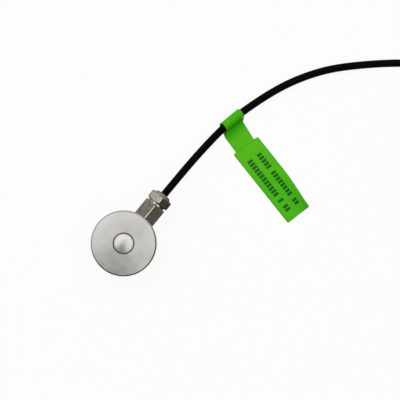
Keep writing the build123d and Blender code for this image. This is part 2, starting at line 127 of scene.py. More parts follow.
def place(tree, scale=(1, 1, 1)):
    """The point on the piece, in the object's own metres, stretched by scale."""
    point = add(tree, "ShaderNodeTexCoord", out="Object")
    return add(tree, "ShaderNodeMapping", {"Vector": point, "Scale": scale})


def speckle(tree, size, low=0.0, high=1.0, vector=None):
    """Noise with grains of that size in metres, as a value from low to high."""
    noise = add(tree, "ShaderNodeTexNoise", {
        "Vector": vector or place(tree), "Scale": 1 / size, "Detail": 3.0,
    })
    return add(tree, "ShaderNodeMapRange", {
        "Value": noise, "From Min": 0.3, "From Max": 0.7, "To Min": low, "To Max": high,
    })


def layered(tree, colour, *layers):
    """A colour under layers of others, each given by how much of it shows and its colour."""
    for amount, layer in layers:
        under, over = [linear(c) if isinstance(c, str) else c for c in (colour, layer)]
        colour = add(tree, "ShaderNodeMix", {
            "Factor": amount, 6: under, 7: over,
        }, out=2, data_type="RGBA")
    return colour


def graded(tree, value, stops):
    """A colour that follows a value through stops, each a position and a linear colour."""
    ramp = add(tree, "ShaderNodeValToRGB", {0: value}, out=None)
    elements = ramp.color_ramp.elements
    while len(elements) < len(stops):
        elements.new(0.5)
    for element, (position, colour) in zip(elements, stops):
        element.position = position
        element.color = colour
    return ramp.outputs["Color"]


def surface(tree, colour, roughness, others=None, relief=None, depth=FINE_RELIEF, normal=None):
    """A surface with other inputs by name, and a relief given as its height and strength."""
    inputs = {"Base Color": colour, "Roughness": roughness, **(others or {})}
    if relief:
        bump = {"Height": relief[0], "Strength": relief[1], "Distance": depth}
        if normal:
            bump["Normal"] = normal
        inputs["Normal"] = add(tree, "ShaderNodeBump", bump)
    return add(tree, "ShaderNodeBsdfPrincipled", inputs)


# %% [markdown]
# ## Cable
# The cable is 3 mm polyurethane, three metres long. It leaves the gland level, drops to the table
# within a few centimetres and runs off in one lazy bend. What the photograph does not show is
# wound into a neat coil of four layers beside the view, as a new cable is delivered. The whole
# cable is one NURBS curve through the same points as the CAD model's route, so it bends as a
# springy cable does, and the coil's turns are made by a loop: each layer winds in or out by one
# cable's thickness a turn, and climbs to the next layer where it runs out of room.

# %% Route of the cable
CABLE_DIAMETER = 3.0
CABLE_REST = 1.5
PORT_ANGLE = 50.5
PORT_HEIGHT = 6.0

CABLE_TO_COIL = [
    (5.72, 6.94, 6.0),
    (17.17, 20.83, 6.0),
    (28.9, 34.9, 2.6),
    (41.8, 48.4, 2.0),
    (55.1, 57.9, 1.7),
    (66.7, 64.4, 1.5),
    (80.2, 69.1, 1.5),
    (94.5, 71.0, 1.5),
    (108.96, 71.77, 1.5),
    (122.95, 71.28, 1.5),
]
CABLE_TAIL = [
    (169.0, 27.6, 10.5),
    (169.0, 16.6, 10.5),
    (164.2, 4.4, 4.4),
    (152.2, -4.2, 1.5),
    (138.2, -5.6, 1.5),
]

# %% Turns of the coil
COIL_CENTRE = (142.0, 43.6)
COIL_ENTRY_ANGLE = 88.0
COIL_OUTER = 27.0
COIL_INNER = 9.0
COIL_LAYERS = 4
CLIMB_TURNS = 0.3
POINTS_PER_TURN = 18
TIE_THICKNESS = 0.35


def coil_turns():
    """Points of the turns, clockwise from the entry, and out at the right on top."""
    # A curve of order 3 cuts inside its points by half of what the polygon's sides do
    swell = 2 / (1 + cos(pi / POINTS_PER_TURN))
    turns_across = (COIL_OUTER - COIL_INNER) / CABLE_DIAMETER
    rows = []
    turned = 0.0
    for layer in range(COIL_LAYERS):
        start, end = (COIL_OUTER, COIL_INNER) if layer % 2 == 0 else (COIL_INNER, COIL_OUTER)
        rows.append((turned, start, layer))
        turned += turns_across
        rows.append((turned, end, layer))
        turned += CLIMB_TURNS
    # The last layer ends where the tail leaves, at the right of the coil
    full = rows[-1][0]
    spare = (full - COIL_ENTRY_ANGLE / 360) % 1.0
    last = full + (1.0 - spare)
    rows.append((last, COIL_OUTER, COIL_LAYERS - 1))
    stations, radii, layers = zip(*rows)
    points = []
    count = round(last * POINTS_PER_TURN)
    for index in range(count + 1):
        turn = last * index / count
        radius = np.interp(turn, stations, radii) * swell
        layer = np.interp(turn, stations, layers)
        angle = radians(COIL_ENTRY_ANGLE) - tau * turn
        points.append((
            COIL_CENTRE[0] + radius * cos(angle),
            COIL_CENTRE[1] + radius * sin(angle),
            CABLE_REST + TIE_THICKNESS + layer * CABLE_DIAMETER,
        ))
    return points


CABLE_POINTS = CABLE_TO_COIL + coil_turns() + CABLE_TAIL
print("cable points:", len(CABLE_POINTS))

# %% The cable's curve
CABLE_STEPS = 6


def nurbs(name, points, steps):
    """A curve object with one smooth NURBS spline with those control points, in millimetres."""
    data = bpy.data.curves.new(name, "CURVE")
    data.dimensions = "3D"
    data.resolution_u = steps
    spline = data.splines.new("NURBS")
    spline.points.add(len(points) - 1)
    for point, (x, y, z) in zip(spline.points, points):
        point.co = (x * MM, y * MM, z * MM, 1.0)
    spline.order_u = 3
    spline.use_endpoint_u = True
    return new_object(name, data)


def line_of(curve):
    """The points that a curve with no bevel passes through, in metres."""
    mesh = bpy.data.meshes.new_from_object(curve)
    points = [v.co.copy() for v in mesh.vertices]
    bpy.data.meshes.remove(mesh)
    return points


cable = nurbs("cable_run", CABLE_POINTS, CABLE_STEPS)
CABLE_LINE = line_of(cable)
cable_length = sum((b - a).length for a, b in zip(CABLE_LINE, CABLE_LINE[1:]))
cable.data.bevel_depth = CABLE_DIAMETER / 2 * MM
cable.data.bevel_resolution = 4
cable.data.use_fill_caps = True
print("cable length:", round(cable_length / MM), "mm")

# %% [markdown]
# ## Table, backdrop and light
# The photograph is a studio packshot: the table is burnt out to white, and what shapes the metal
# is the room that it mirrors. A wide bright ceiling stands over the object, a little towards the
# upper left, and low down the room is dark and warm. By Light Path the table is plain white for the
# camera, and for mirrors and glass just the same, while one soft lamp keeps a level at which paint
# and plastic render about as their colours are written. The table keeps a faint shadow, and it is so
# wide that it fills every view from above.

# %% Table
TABLE_SIZE = 60.0
TABLE_DEPTH = 0.03 * MM
SHADOW_SHARE = 0.07


def seen_directly(tree):
    """One for camera, mirror and glass rays, and zero for light on its way round the room."""
    path = add(tree, "ShaderNodeLightPath", out=None).outputs
    pair = add(tree, "ShaderNodeMath", {
        0: path["Is Camera Ray"], 1: path["Is Glossy Ray"],
    }, operation="MAXIMUM")
    return add(tree, "ShaderNodeMath", {
        0: pair, 1: path["Is Transmission Ray"],
    }, operation="MAXIMUM")


def white_table(tree):
    """Matt white paint that camera, mirrors and glass see as plain white with a faint shadow."""
    paint = add(tree, "ShaderNodeBsdfDiffuse", {"Color": linear("#e6e6e4")})
    white = add(tree, "ShaderNodeEmission", {"Color": linear("#fefefe"), "Strength": 1.0})
    shown = add(tree, "ShaderNodeMixShader", {0: SHADOW_SHARE, 1: white, 2: paint})
    return add(tree, "ShaderNodeMixShader", {0: seen_directly(tree), 1: paint, 2: shown})


half = TABLE_SIZE / 2
corners = [(-half, -half), (half, -half), (half, half), (-half, half)]
table_mesh = bpy.data.meshes.new("table")
table_mesh.from_pydata([(x, y, -TABLE_DEPTH) for x, y in corners], [], [(0, 1, 2, 3)])
table_mesh.materials.append(material("white_table_paint", white_table))
table = new_object("table", table_mesh)

# %% Room that the metal mirrors
# Brightness and colour of the room by the height of the direction, from the table up
ROOM_LIGHT = [
    (0.00, 0.13, "#b9ad98"),
    (0.36, 0.16, "#b9ad98"),
    (0.45, 0.24, "#c4baa4"),
    (0.55, 0.27, "#cfccba"),
    (0.64, 0.34, "#e2e0d6"),
    (0.70, 1.30, "#ffffff"),
    (0.80, 2.10, "#ffffff"),
    (0.91, 1.25, "#ffffff"),
    (1.00, 0.80, "#ffffff"),
]
ROOM_PEAK = 2.2
BRIGHT_SIDE = (-0.12, 0.16, 0.0)
DARK_SPOT = (cos(radians(246)) * 0.45, sin(radians(246)) * 0.45, 0.893)
DARK_SPOT_EDGE = (0.87, 0.985)
DARK_SPOT_DEPTH = 0.77

# A low window on the bright side, from one edge of it to the full light, and its upper edge
WINDOW_SIDE = (cos(radians(110)), sin(radians(110)), 0.0)
WINDOW_EDGE = (-0.75, 0.55)
WINDOW_LEVEL = 0.6
WINDOW_TOP = (0.38, 0.48)


def room_light(tree):
    """A warm dark horizon under a bright ceiling, the same for the camera and for metal."""
    tree.nodes.clear()
    way = add(tree, "ShaderNodeTexCoord", out="Generated")
    way_up = add(tree, "ShaderNodeSeparateXYZ", {0: way}, out="Z")
    by_height = graded(tree, way_up, [
        (height, (*[c * level / ROOM_PEAK for c in linear(tint)[:3]], 1.0))
        for height, level, tint in ROOM_LIGHT
    ])
    side, near_spot, toward_window = [
        add(tree, "ShaderNodeVectorMath", {0: way, 1: aim}, out="Value", operation="DOT_PRODUCT")
        for aim in (BRIGHT_SIDE, DARK_SPOT, WINDOW_SIDE)
    ]
    spot = add(tree, "ShaderNodeMapRange", {
        "Value": near_spot, "From Min": DARK_SPOT_EDGE[0], "From Max": DARK_SPOT_EDGE[1],
        "To Min": 1.0, "To Max": 1.0 - DARK_SPOT_DEPTH,
    }, interpolation_type="SMOOTHSTEP")
    window = add(tree, "ShaderNodeMapRange", {
        "Value": toward_window, "From Min": WINDOW_EDGE[0], "From Max": WINDOW_EDGE[1],
    }, interpolation_type="SMOOTHSTEP")
    window = add(tree, "ShaderNodeMapRange", {
        "Value": way_up, "From Min": WINDOW_TOP[0], "From Max": WINDOW_TOP[1],
        "To Min": window, "To Max": 0.0,
    })
    light = layered(tree, by_height, (window, (*[WINDOW_LEVEL / ROOM_PEAK] * 3, 1.0)))
    lean = add(tree, "ShaderNodeMath", {0: side, 1: 1.0}, operation="ADD")
    level = add(tree, "ShaderNodeMath", {0: lean, 1: spot}, operation="MULTIPLY")
    strength = add(tree, "ShaderNodeMath", {0: level, 1: ROOM_PEAK}, operation="MULTIPLY")
    room = add(tree, "ShaderNodeBackground", {"Color": light, "Strength": strength})
    add(tree, "ShaderNodeOutputWorld", {"Surface": room}, out=None)


world = bpy.data.worlds.new("room")
world.use_nodes = True
bpy.context.scene.world = world
room_light(world.node_tree)

# %% Lamp
LAMP_POWER = 4.0
LAMP_SIZE = 0.8
LAMP_DISTANCE = 1.4
LAMP_AZIMUTH = radians(125)
LAMP_ELEVATION = radians(55)

lamp_data = bpy.data.lights.new("side_fill", "AREA")
lamp_data.energy = LAMP_POWER
lamp_data.shape = "DISK"
lamp_data.size = LAMP_SIZE
lamp = new_object("side_fill", lamp_data)
to_lamp = Vector((
    cos(LAMP_AZIMUTH) * cos(LAMP_ELEVATION), sin(LAMP_AZIMUTH) * cos(LAMP_ELEVATION),
    sin(LAMP_ELEVATION),
))
lamp.location = Vector((*PICTURE_CENTRE, 0.0)) + to_lamp * LAMP_DISTANCE
lamp.rotation_mode = "QUATERNION"
lamp.rotation_quaternion = to_lamp.to_track_quat("Z", "Y")
lamp.visible_camera = False
lamp.visible_glossy = False

# %% [markdown]
# ## Turned stainless steel
# The puck is one piece of stainless bar, faced and turned on a lathe. The tool leaves a spiral of
# very fine rings, so each spot mirrors the room stretched across the rings: the face looks grey
# and silky, with soft fans of light and shade, and not like a mirror. In the shader this is an
# anisotropic metal whose direction runs round the axis. Real feed marks are about 0.1 mm apart,
# too fine for this picture, so a coarser set is drawn too.

# %% Turned stainless
RING_PITCH = 0.45 * MM
FACE_TILT = 0.12
FACE_EDGE = 13 * MM
EDGE_ROUND = 0.07 * MM
EDGE_FACING = (0.7, 0.2)
EDGE_LIFT = 0.3
EDGE_POLISH = 0.24
GROOVE_MIDDLE = 4.06 * MM
GROOVE_REACH = 0.26 * MM
GROOVE_HEIGHTS = (11.6 * MM, 12.2 * MM)
GROOVE_TILT = 0.25

# A wave texture of scale 1 has a band every tau / 20 of a metre
WAVE_BAND = tau / 20


def in_plan(tree, vector):
    """A vector without its height, and how long it then is."""
    flat = add(tree, "ShaderNodeVectorMath", {0: vector, 1: (1, 1, 0)}, operation="MULTIPLY")
    return flat, add(tree, "ShaderNodeVectorMath", {0: flat}, out="Value", operation="LENGTH")


def groove_shade(tree, radius, height):
    """One inside the groove round the button, and zero on the face and on the button's top."""
    off = add(tree, "ShaderNodeMath", {0: radius, 1: GROOVE_MIDDLE}, operation="SUBTRACT")
    off = add(tree, "ShaderNodeMath", {0: off}, operation="ABSOLUTE")
    near = add(tree, "ShaderNodeMath", {0: off, 1: GROOVE_REACH}, operation="LESS_THAN")
    below = add(tree, "ShaderNodeMapRange", {
        "Value": height, "From Min": GROOVE_HEIGHTS[0], "From Max": GROOVE_HEIGHTS[1],
        "To Min": 1.0, "To Max": 0.0,
    })
    return add(tree, "ShaderNodeMath", {0: near, 1: below}, operation="MULTIPLY")


def turned_steel(tree):
    """Silky metal with rings, a face that falls away by a hair, and a groove full of shade."""
    point = place(tree)
    flat, radius = in_plan(tree, point)
    away = add(tree, "ShaderNodeVectorMath", {0: flat}, operation="NORMALIZE")
    around = add(tree, "ShaderNodeVectorMath", {0: (0, 0, 1), 1: away}, operation="CROSS_PRODUCT")
    height = add(tree, "ShaderNodeSeparateXYZ", {0: point}, out="Z")
    groove = groove_shade(tree, radius, height)
    edges = add(tree, "ShaderNodeBevel", {"Radius": EDGE_ROUND}, samples=6)
    facing_up = add(tree, "ShaderNodeSeparateXYZ", {0: edges}, out="Z")
    # The face falls away by a hair, and the groove's floor leans
    fall = add(tree, "ShaderNodeMath", {0: radius, 1: FACE_TILT / FACE_EDGE}, operation="MULTIPLY")
    fall = add(tree, "ShaderNodeMath", {
        0: groove, 1: GROOVE_TILT, 2: fall,
    }, operation="MULTIPLY_ADD")
    amount = add(tree, "ShaderNodeMath", {0: facing_up, 1: fall}, operation="MULTIPLY")
    tilt = add(tree, "ShaderNodeVectorMath", {0: away, "Scale": amount}, operation="SCALE")
    way = add(tree, "ShaderNodeVectorMath", {0: edges, 1: tilt}, operation="ADD")
    # The broken edge between face and wall is crowned and polished, and painted a darker, cooler
    # grey as painted shade
    broken = add(tree, "ShaderNodeMath", {
        0: facing_up, 1: EDGE_FACING[0], 2: EDGE_FACING[1],
    }, operation="COMPARE")
    lift = add(tree, "ShaderNodeVectorMath", {
        0: (0, 0, EDGE_LIFT), "Scale": broken,
    }, operation="SCALE")
    way = add(tree, "ShaderNodeVectorMath", {0: way, 1: lift}, operation="ADD")
    rings = add(tree, "ShaderNodeTexWave", {
        "Vector": point, "Scale": WAVE_BAND / RING_PITCH, "Distortion": 0.6, "Detail": 2.0,
    }, out="Fac", wave_type="RINGS", rings_direction="Z")
    colour = layered(
        tree, "#c9c7c2",
        (speckle(tree, 5 * MM), "#d5d3cf"),
        (groove, "#85837f"),
        (broken, "#b7b8bc"),
    )
    rough = add(tree, "ShaderNodeMath", {
        0: broken, 1: -EDGE_POLISH, 2: speckle(tree, 2.5 * MM, 0.30, 0.38),
    }, operation="MULTIPLY_ADD")
    return surface(tree, colour, rough, {
        **METAL, "Anisotropic": 0.55, "Anisotropic Rotation": 0.25, "Tangent": around,
    }, relief=(rings, 0.12), normal=way)


turned_stainless = material("turned_stainless_steel", turned_steel)


def dress(node, finish):
    """Gives a CAD node its finish."""
    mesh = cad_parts[node].data
    mesh.materials.clear()
    mesh.materials.append(finish)


dress("sensor_body", turned_stainless)

# %% [markdown]
# ## Plated hexagons of the gland
# The gland is cut from drawn hexagon bar and plated. Its flats are nearly mirrors, so seen from
# above they show the dark room at table height, and only the ridges and the round neck catch the
# ceiling. A Bevel node rounds the ridges for the shader alone, and its normal is used only where it
# faces further up, where the ridge also gets a painted highlight. Chamfers and the nut's dome are
# crowned a little, so they mirror the room just above the table and stand out from its white, and
# are painted a darker grey as painted shade. Drawing the bar leaves faint lines.

# %% Plated metal
GLAND_EDGE = 0.32 * MM
DRAWN_LINE = 0.25 * MM
RIDGE_GAIN = 0.02
LEAST_RISE = 1.3
CROWN_START = (0.0, 0.12)
PUCKWARD = (-cos(radians(PORT_ANGLE)), -sin(radians(PORT_ANGLE)), 0.0)
SHADE_START = (0.25, 0.45)
CROWN_SHADE_LIFT = 0.3


def crowned(tree, way):
    """A normal raised to over 45 degrees where it faces up at all, and how far it was raised."""
    lean = in_plan(tree, way)[1]
    rise = add(tree, "ShaderNodeSeparateXYZ", {0: way}, out="Z")
    least = add(tree, "ShaderNodeMath", {0: lean, 1: LEAST_RISE}, operation="MULTIPLY")
    missing = add(tree, "ShaderNodeMath", {0: least, 1: rise}, operation="SUBTRACT")
    missing = add(tree, "ShaderNodeMath", {0: missing, 1: 0.0}, operation="MAXIMUM")
    faces_up = add(tree, "ShaderNodeMapRange", {
        "Value": rise, "From Min": CROWN_START[0], "From Max": CROWN_START[1],
    }, interpolation_type="SMOOTHSTEP")
    lift = add(tree, "ShaderNodeMath", {0: missing, 1: faces_up}, operation="MULTIPLY")
    up = add(tree, "ShaderNodeCombineXYZ", {2: lift})
    return add(tree, "ShaderNodeVectorMath", {0: way, 1: up}, operation="ADD"), lift


def plated_hexagon(tree):
    """Dark mirror-like metal with drawn lines along the gland and rounded edges."""
    point = add(tree, "ShaderNodeTexCoord", out="Object")
    along = add(tree, "ShaderNodeVectorRotate", {
        "Vector": point, "Angle": -radians(PORT_ANGLE),
    }, rotation_type="Z_AXIS")
    stretched = add(tree, "ShaderNodeMapping", {"Vector": along, "Scale": (0.04, 1, 1)})
    lines = speckle(tree, DRAWN_LINE, vector=stretched)
    flat_way = add(tree, "ShaderNodeNewGeometry", out="Normal")
    round_way = add(tree, "ShaderNodeBevel", {"Radius": GLAND_EDGE}, samples=8)
    flat_up, round_up = [
        add(tree, "ShaderNodeSeparateXYZ", {0: way}, out="Z") for way in (flat_way, round_way)
    ]
    gain = add(tree, "ShaderNodeMath", {0: round_up, 1: flat_up}, operation="SUBTRACT")
    # Painted highlight: where the rounded normal faces further up, the ridge is also painted
    # near-white
    ridge = add(tree, "ShaderNodeMath", {0: gain, 1: RIDGE_GAIN}, operation="GREATER_THAN")
    edges = add(tree, "ShaderNodeMix", {
        "Factor": ridge, 4: flat_way, 5: round_way,
    }, out=1, data_type="VECTOR")
    crown, lift = crowned(tree, edges)
    # Painted shade: the chamfers and the dome get a darker grey as far as their normal is raised
    turned = add(tree, "ShaderNodeMapRange", {
        "Value": lift, "From Min": 0.0, "From Max": CROWN_SHADE_LIFT,
    })
    # What looks back at the puck mirrors its shaded wall and lies deep between the hexagons
    backward = add(tree, "ShaderNodeVectorMath", {
        0: flat_way, 1: PUCKWARD,
    }, out="Value", operation="DOT_PRODUCT")
    shade = add(tree, "ShaderNodeMapRange", {
        "Value": backward, "From Min": SHADE_START[0], "From Max": SHADE_START[1],
    })
    colour = layered(
        tree, "#bdb8aa",
        (lines, "#cbc6ba"),
        (ridge, "#f2ede2"),
        (turned, "#94908a"),
        (shade, "#3a372f"),
    )
    rough = speckle(tree, 1.2 * MM, 0.16, 0.24)
    return surface(tree, colour, rough, METAL, relief=(lines, 0.1), normal=crown)


gland_metal = material("nickel_plated_steel", plated_hexagon)
dress("gland_body", gland_metal)
dress("gland_nut", gland_metal)

# %% [markdown]
# ## The rest of the sensor's own pieces
# The cover under the puck is punched from rolled stainless sheet, which leaves fine straight lines
# one way. The washer is turned brass. The seals are nitrile rubber, matt and a little dusty from
# the mould. Inside, the gauges are polyimide film with an etched foil, the board is glass epoxy
# with its weave showing, and its chips are glazed ceramic. Each has a colour, a pattern at its
# real scale and its own gloss.

# %% Sheet steel, brass and rubber
SHEET_LINE = 0.12 * MM
RUBBER_GRAIN = 0.15 * MM


def rolled_sheet(tree):
    """Bright sheet with fine straight lines from the rolls."""
    lines = speckle(tree, SHEET_LINE, vector=place(tree, (0.02, 1, 1)))
    colour = layered(tree, "#bdbbb6", (lines, "#cdcbc6"))
    return surface(tree, colour, speckle(tree, 2 * MM, 0.28, 0.4), METAL, relief=(lines, 0.2))


def turned_brass(tree):
    """Warm yellow metal, a little duller in patches."""
    colour = layered(tree, "#d9b766", (speckle(tree, 1 * MM), "#c39d4c"))
    return surface(tree, colour, speckle(tree, 0.4 * MM, 0.2, 0.34), METAL)


def nitrile(tree):
    """Matt black rubber with the fine grain of its mould."""
    grain = speckle(tree, RUBBER_GRAIN)
    colour = layered(tree, "#161616", (grain, "#1f1f1e"))
    return surface(tree, colour, 0.75, relief=(grain, 0.3))


dress("base_cover", material("rolled_stainless_sheet", rolled_sheet))
dress("gland_washer", material("turned_brass", turned_brass))
seal_rubber = material("nitrile_rubber", nitrile)
for seal in ("gland_seal", "port_o_ring"):
    dress(seal, seal_rubber)


# %% Gauges, board and chips
WEAVE_PITCH = 0.5 * MM
FOIL_PITCH = 0.2 * MM
STRIPE_SHARE = 0.5
ALIKE = 0.1


def stripes(tree, pitch, direction):
    """One on straight stripes half as wide as their pitch, and zero between them."""
    wave = add(tree, "ShaderNodeTexWave", {
        "Vector": place(tree), "Scale": WAVE_BAND / pitch,
    }, out="Fac", wave_type="BANDS", bands_direction=direction, wave_profile="SAW")
    return add(tree, "ShaderNodeMath", {0: wave, 1: STRIPE_SHARE}, operation="LESS_THAN")


def gauge_foil(tree):
    """Amber polyimide with the grey loops of an etched foil."""
    foil = stripes(tree, FOIL_PITCH, "X")
    colour = layered(tree, "#c98a3a", (speckle(tree, 0.5 * MM), "#b67728"), (foil, "#8f8b80"))
    return surface(tree, colour, 0.35, {"IOR": 1.7})


def glass_epoxy(tree):
    """Green lacquer over the weave of the glass cloth."""
    warp, weft = [stripes(tree, WEAVE_PITCH, direction) for direction in "XY"]
    weave = add(tree, "ShaderNodeMath", {0: warp, 1: weft, 2: ALIKE}, operation="COMPARE")
    colour = layered(tree, "#1c6b42", (weave, "#22774b"))
    return surface(tree, colour, 0.3, {"IOR": 1.55}, relief=(weave, 0.2))


def glazed_ceramic(tree):
    """Black glaze with faint mottling."""
    colour = layered(tree, "#1b1b1d", (speckle(tree, 0.3 * MM), "#2a2a2c"))
    return surface(tree, colour, 0.25, {"IOR": 1.6})


gauge_finish = material("polyimide_foil_gauge", gauge_foil)
for number in (1, 2, 3, 4):
    dress(f"strain_gauge_{number}", gauge_finish)
dress("bridge_board", material("glass_epoxy_laminate", glass_epoxy))
chip_finish = material("glazed_ceramic_chip", glazed_ceramic)
for number in (1, 2):
    dress(f"trim_resistor_{number}", chip_finish)


# %% [markdown]
# ## Leads of the cable
# Four thin PVC-insulated leads run inside the sheath: red, black, green and white. They show only
# where the cable is stripped. PVC is smooth and half glossy, a little uneven in colour along the
# lead. The bare ends are dipped in solder, which leaves them bright and slightly lumpy.

# %% PVC insulation and tinned ends
PVC_COLOURS = {
    "red": ("#b3201c", "#c42a22"),
    "black": ("#1a1a1b", "#242425"),
    "green": ("#1f8a3a", "#2b9a45"),
    "white": ("#dcdcd6", "#e8e8e3"),
}
SOLDER_LUMP = 0.4 * MM
SOLDER_DEPTH = 0.03 * MM


def pvc(first, second):
    """A shader of half-glossy insulation between two shades of its colour."""
    def shader(tree):
        colour = layered(tree, first, (speckle(tree, 1.5 * MM), second))
        return surface(tree, colour, 0.38, {"IOR": 1.54}, relief=(speckle(tree, 0.2 * MM), 0.15))
    return shader


def solder_dipped(tree):
    """Bright grey solder over copper strands, slightly lumpy."""
    lumps = speckle(tree, SOLDER_LUMP)
    colour = layered(tree, "#c3c2be", (lumps, "#d6d5d2"))
    rough = speckle(tree, 0.3 * MM, 0.22, 0.38)
    return surface(tree, colour, rough, METAL, relief=(lumps, 0.4), depth=SOLDER_DEPTH)


for colour, shades in PVC_COLOURS.items():
    insulation = material(f"pvc_insulation_{colour}", pvc(*shades))
    dress(f"inner_lead_{colour}", insulation)
    dress(f"end_lead_{colour}", insulation)
tinned_copper = material("tinned_copper", solder_dipped)
dress("lead_tips", tinned_copper)
dress("shield_pigtail", tinned_copper)

# %% [markdown]
# ## Extruded polyurethane
# The sheath of a sensor cable is polyurethane, extruded black and satin. It is nearly black from
# above, with no shine to speak of, and its skin has a fine dry grain.

# %% Black sheath
SHEATH_GRAIN = 0.25 * MM
SHEATH_DEPTH = 0.02 * MM


def sheath(tree):
    """Black satin plastic with a fine grain."""
    colour = layered(tree, "#040404", (speckle(tree, 3 * MM), "#070708"))
    return surface(tree, colour, 0.6, {
        "IOR": 1.5, "Specular IOR Level": 0.03,
    }, relief=(speckle(tree, SHEATH_GRAIN), 0.25), depth=SHEATH_DEPTH)


black_sheath = material("extruded_polyurethane", sheath)
cable.data.materials.append(black_sheath)

# %% [markdown]
# ## Flag label
# The label is one strip of green vinyl film, 0.15 mm thick. It goes under the cable, round it, and
# back onto itself: a narrow neck, and then a wider flag of double film. It is made as it is
# applied: rows of points follow the strip from the flag's end on top, along the neck, round the
# cable and back below, and a Solidify modifier gives the film its thickness. The flag's free
# corner has curled up from the table, which is why its far end looks narrower.

# %% Sizes of the label
FILM = 0.15
FLAG_WIDTH = 12.1
FLAG_LENGTH = 34.7
FLAG_CORNER = 0.8
FLAG_NEAR_CORNER = 0.2
FLAG_START_LEFT = Vector((43.5, 35.1))
FLAG_START_ACROSS = radians(36.2)
FLAG_END_LEFT = Vector((65.2, 7.85))
FLAG_END_ACROSS = radians(38.3)
FLAG_REST = 0.17

# The flag curls along its length past a flat share, and across its width past another
FLAG_CURL = radians(62)
FLAT_LENGTH = 0.3
FLAT_WIDTH = 0.35
LEAST_ANGLE = 1e-4

NECK_ON_FLAG = (1.3, 10.2)
NECK_START_LEFT = Vector((40.08, 42.0))
NECK_START_RIGHT = Vector((47.3, 48.3))
LOOP_MIDDLE = Vector((43.3, 49.4))
LOOP_WIDTH = 9.0
LOOP_RADIUS = 1.88
LOOP_SLACK = 0.12
LOOP_SIDESTEP = -1.5
LOOP_START = radians(15)
LOOP_BOTTOM = radians(270)
FILM_FILLET = 1.0

# Rows of points along the strip, closer together at the flag's rounded corners
POINTS_ACROSS = 15
FLAG_STEPS = 28
FLAG_SHARES = (0.977, 0.006)
FLAG_END_SHARES = [1.0, 0.9985, 0.996, 0.991, 0.985]
FLAG_NEAR_SHARES = [0.003, 0.001, 0.0]
NECK_STEPS = 9
NECK_REACH = 0.96
SWEEP_STEPS = 8
LOOP_STEPS = 30

# Where each part lies along the film, from the flag's end below to its end on top
FLAG_BELOW = 0.1
NECK_BELOW = 0.2
ON_LOOP = 0.3
ON_SWEEP = 0.35
ON_NECK = (0.4, 0.49)
ON_FLAG = (0.5, 1.0)


# %% Where the cable carries the label
def nearest_on_line(line, point):
    """The place on a line nearest to a point in plan, in millimetres, and its heading."""
    flat = [Vector((p.x, p.y)) / MM for p in line]
    index = min(range(1, len(flat) - 1), key=lambda i: (flat[i] - point).length)
    along = (flat[index + 1] - flat[index - 1]).normalized()
    offset = (point - flat[index]).dot(along)
    return flat[index] + along * offset, line[index].z / MM, atan2(along.y, along.x)


loop_centre, loop_height, cable_heading = nearest_on_line(CABLE_LINE, LOOP_MIDDLE)
along_cable = Vector((cos(cable_heading), sin(cable_heading)))
to_flag = Vector((sin(cable_heading), -cos(cable_heading)))
loop_centre -= to_flag * LOOP_SLACK
print("label on the cable at", [round(x, 2) for x in loop_centre], "height", round(loop_height, 2))


# %% Rows of the strip
def ease(x):
    """Smooth step from 0 to 1."""
    x = min(max(x, 0.0), 1.0)
    return x * x * (3 - 2 * x)


def between(first, last, share):
    """The value at a share of the way from first to last."""
    return first + (last - first) * share


def spread(count, first, last):
    """Evenly spaced values from first to last."""
    return [between(first, last, index / (count - 1)) for index in range(count)]


ACROSS = spread(POINTS_ACROSS, 0.0, 1.0)


def flag_row(share, side):
    """Points across the flag at a share of its length; side is 1 on top and -1 below."""
    left = FLAG_START_LEFT.lerp(FLAG_END_LEFT, share)
    heading = between(FLAG_START_ACROSS, FLAG_END_ACROSS, share)
    across = Vector((cos(heading), sin(heading), 0.0))
    from_end = min(share, 1 - share) * FLAG_LENGTH
    corner = FLAG_CORNER if share > 0.5 else FLAG_NEAR_CORNER
    inset = 0.0
    if from_end < corner:
        inset = corner - sqrt(corner**2 - (corner - from_end) ** 2)
    curl = FLAG_CURL * ease((share - FLAT_LENGTH) / (1 - FLAT_LENGTH))
    free = FLAG_WIDTH * (1 - FLAT_WIDTH)
    row = []
    for part in ACROSS:
        reach = between(inset, FLAG_WIDTH - inset, part)
        past = max(reach - FLAG_WIDTH * FLAT_WIDTH, 0.0)
        angle = curl * past / free
        bent = past * (sin(angle) / angle if angle > LEAST_ANGLE else 1.0)
        lift = past * ((1 - cos(angle)) / angle if angle > LEAST_ANGLE else 0.0)
        point = Vector((*left, FLAG_REST)) + across * (reach - past + bent)
        point.z += lift
        up = Vector((0, 0, 1)) * cos(angle) - across * sin(angle)
        row.append(point + up * side * FILM / 2)
    return row


def neck_row(share, side):
    """Points across the neck at a share of its length from the loop."""
    across = Vector((cos(FLAG_START_ACROSS), sin(FLAG_START_ACROSS)))
    left = NECK_START_LEFT.lerp(FLAG_START_LEFT + across * NECK_ON_FLAG[0], share)
    right = NECK_START_RIGHT.lerp(FLAG_START_LEFT + across * NECK_ON_FLAG[1], share)
    start = loop_height - LOOP_RADIUS + FILM / 2
    height = between(start, FLAG_REST, ease(share)) + side * FILM / 2
    return [Vector((*left.lerp(right, part), height)) for part in ACROSS]


def loop_row(out, height, side, width):
    """Points across the strip, at a distance out from the cable, above it and along it."""
    middle = loop_centre + to_flag * out + along_cable * side
    return [
        Vector((*(middle + along_cable * ((part - 0.5) * width)), loop_height + height))
        for part in ACROSS
    ]


def sidestep(height):
    """How far along the cable the film has wandered at a height over the cable's middle."""
    return LOOP_SIDESTEP * (1 - (height + LOOP_RADIUS) / (2 * LOOP_RADIUS))


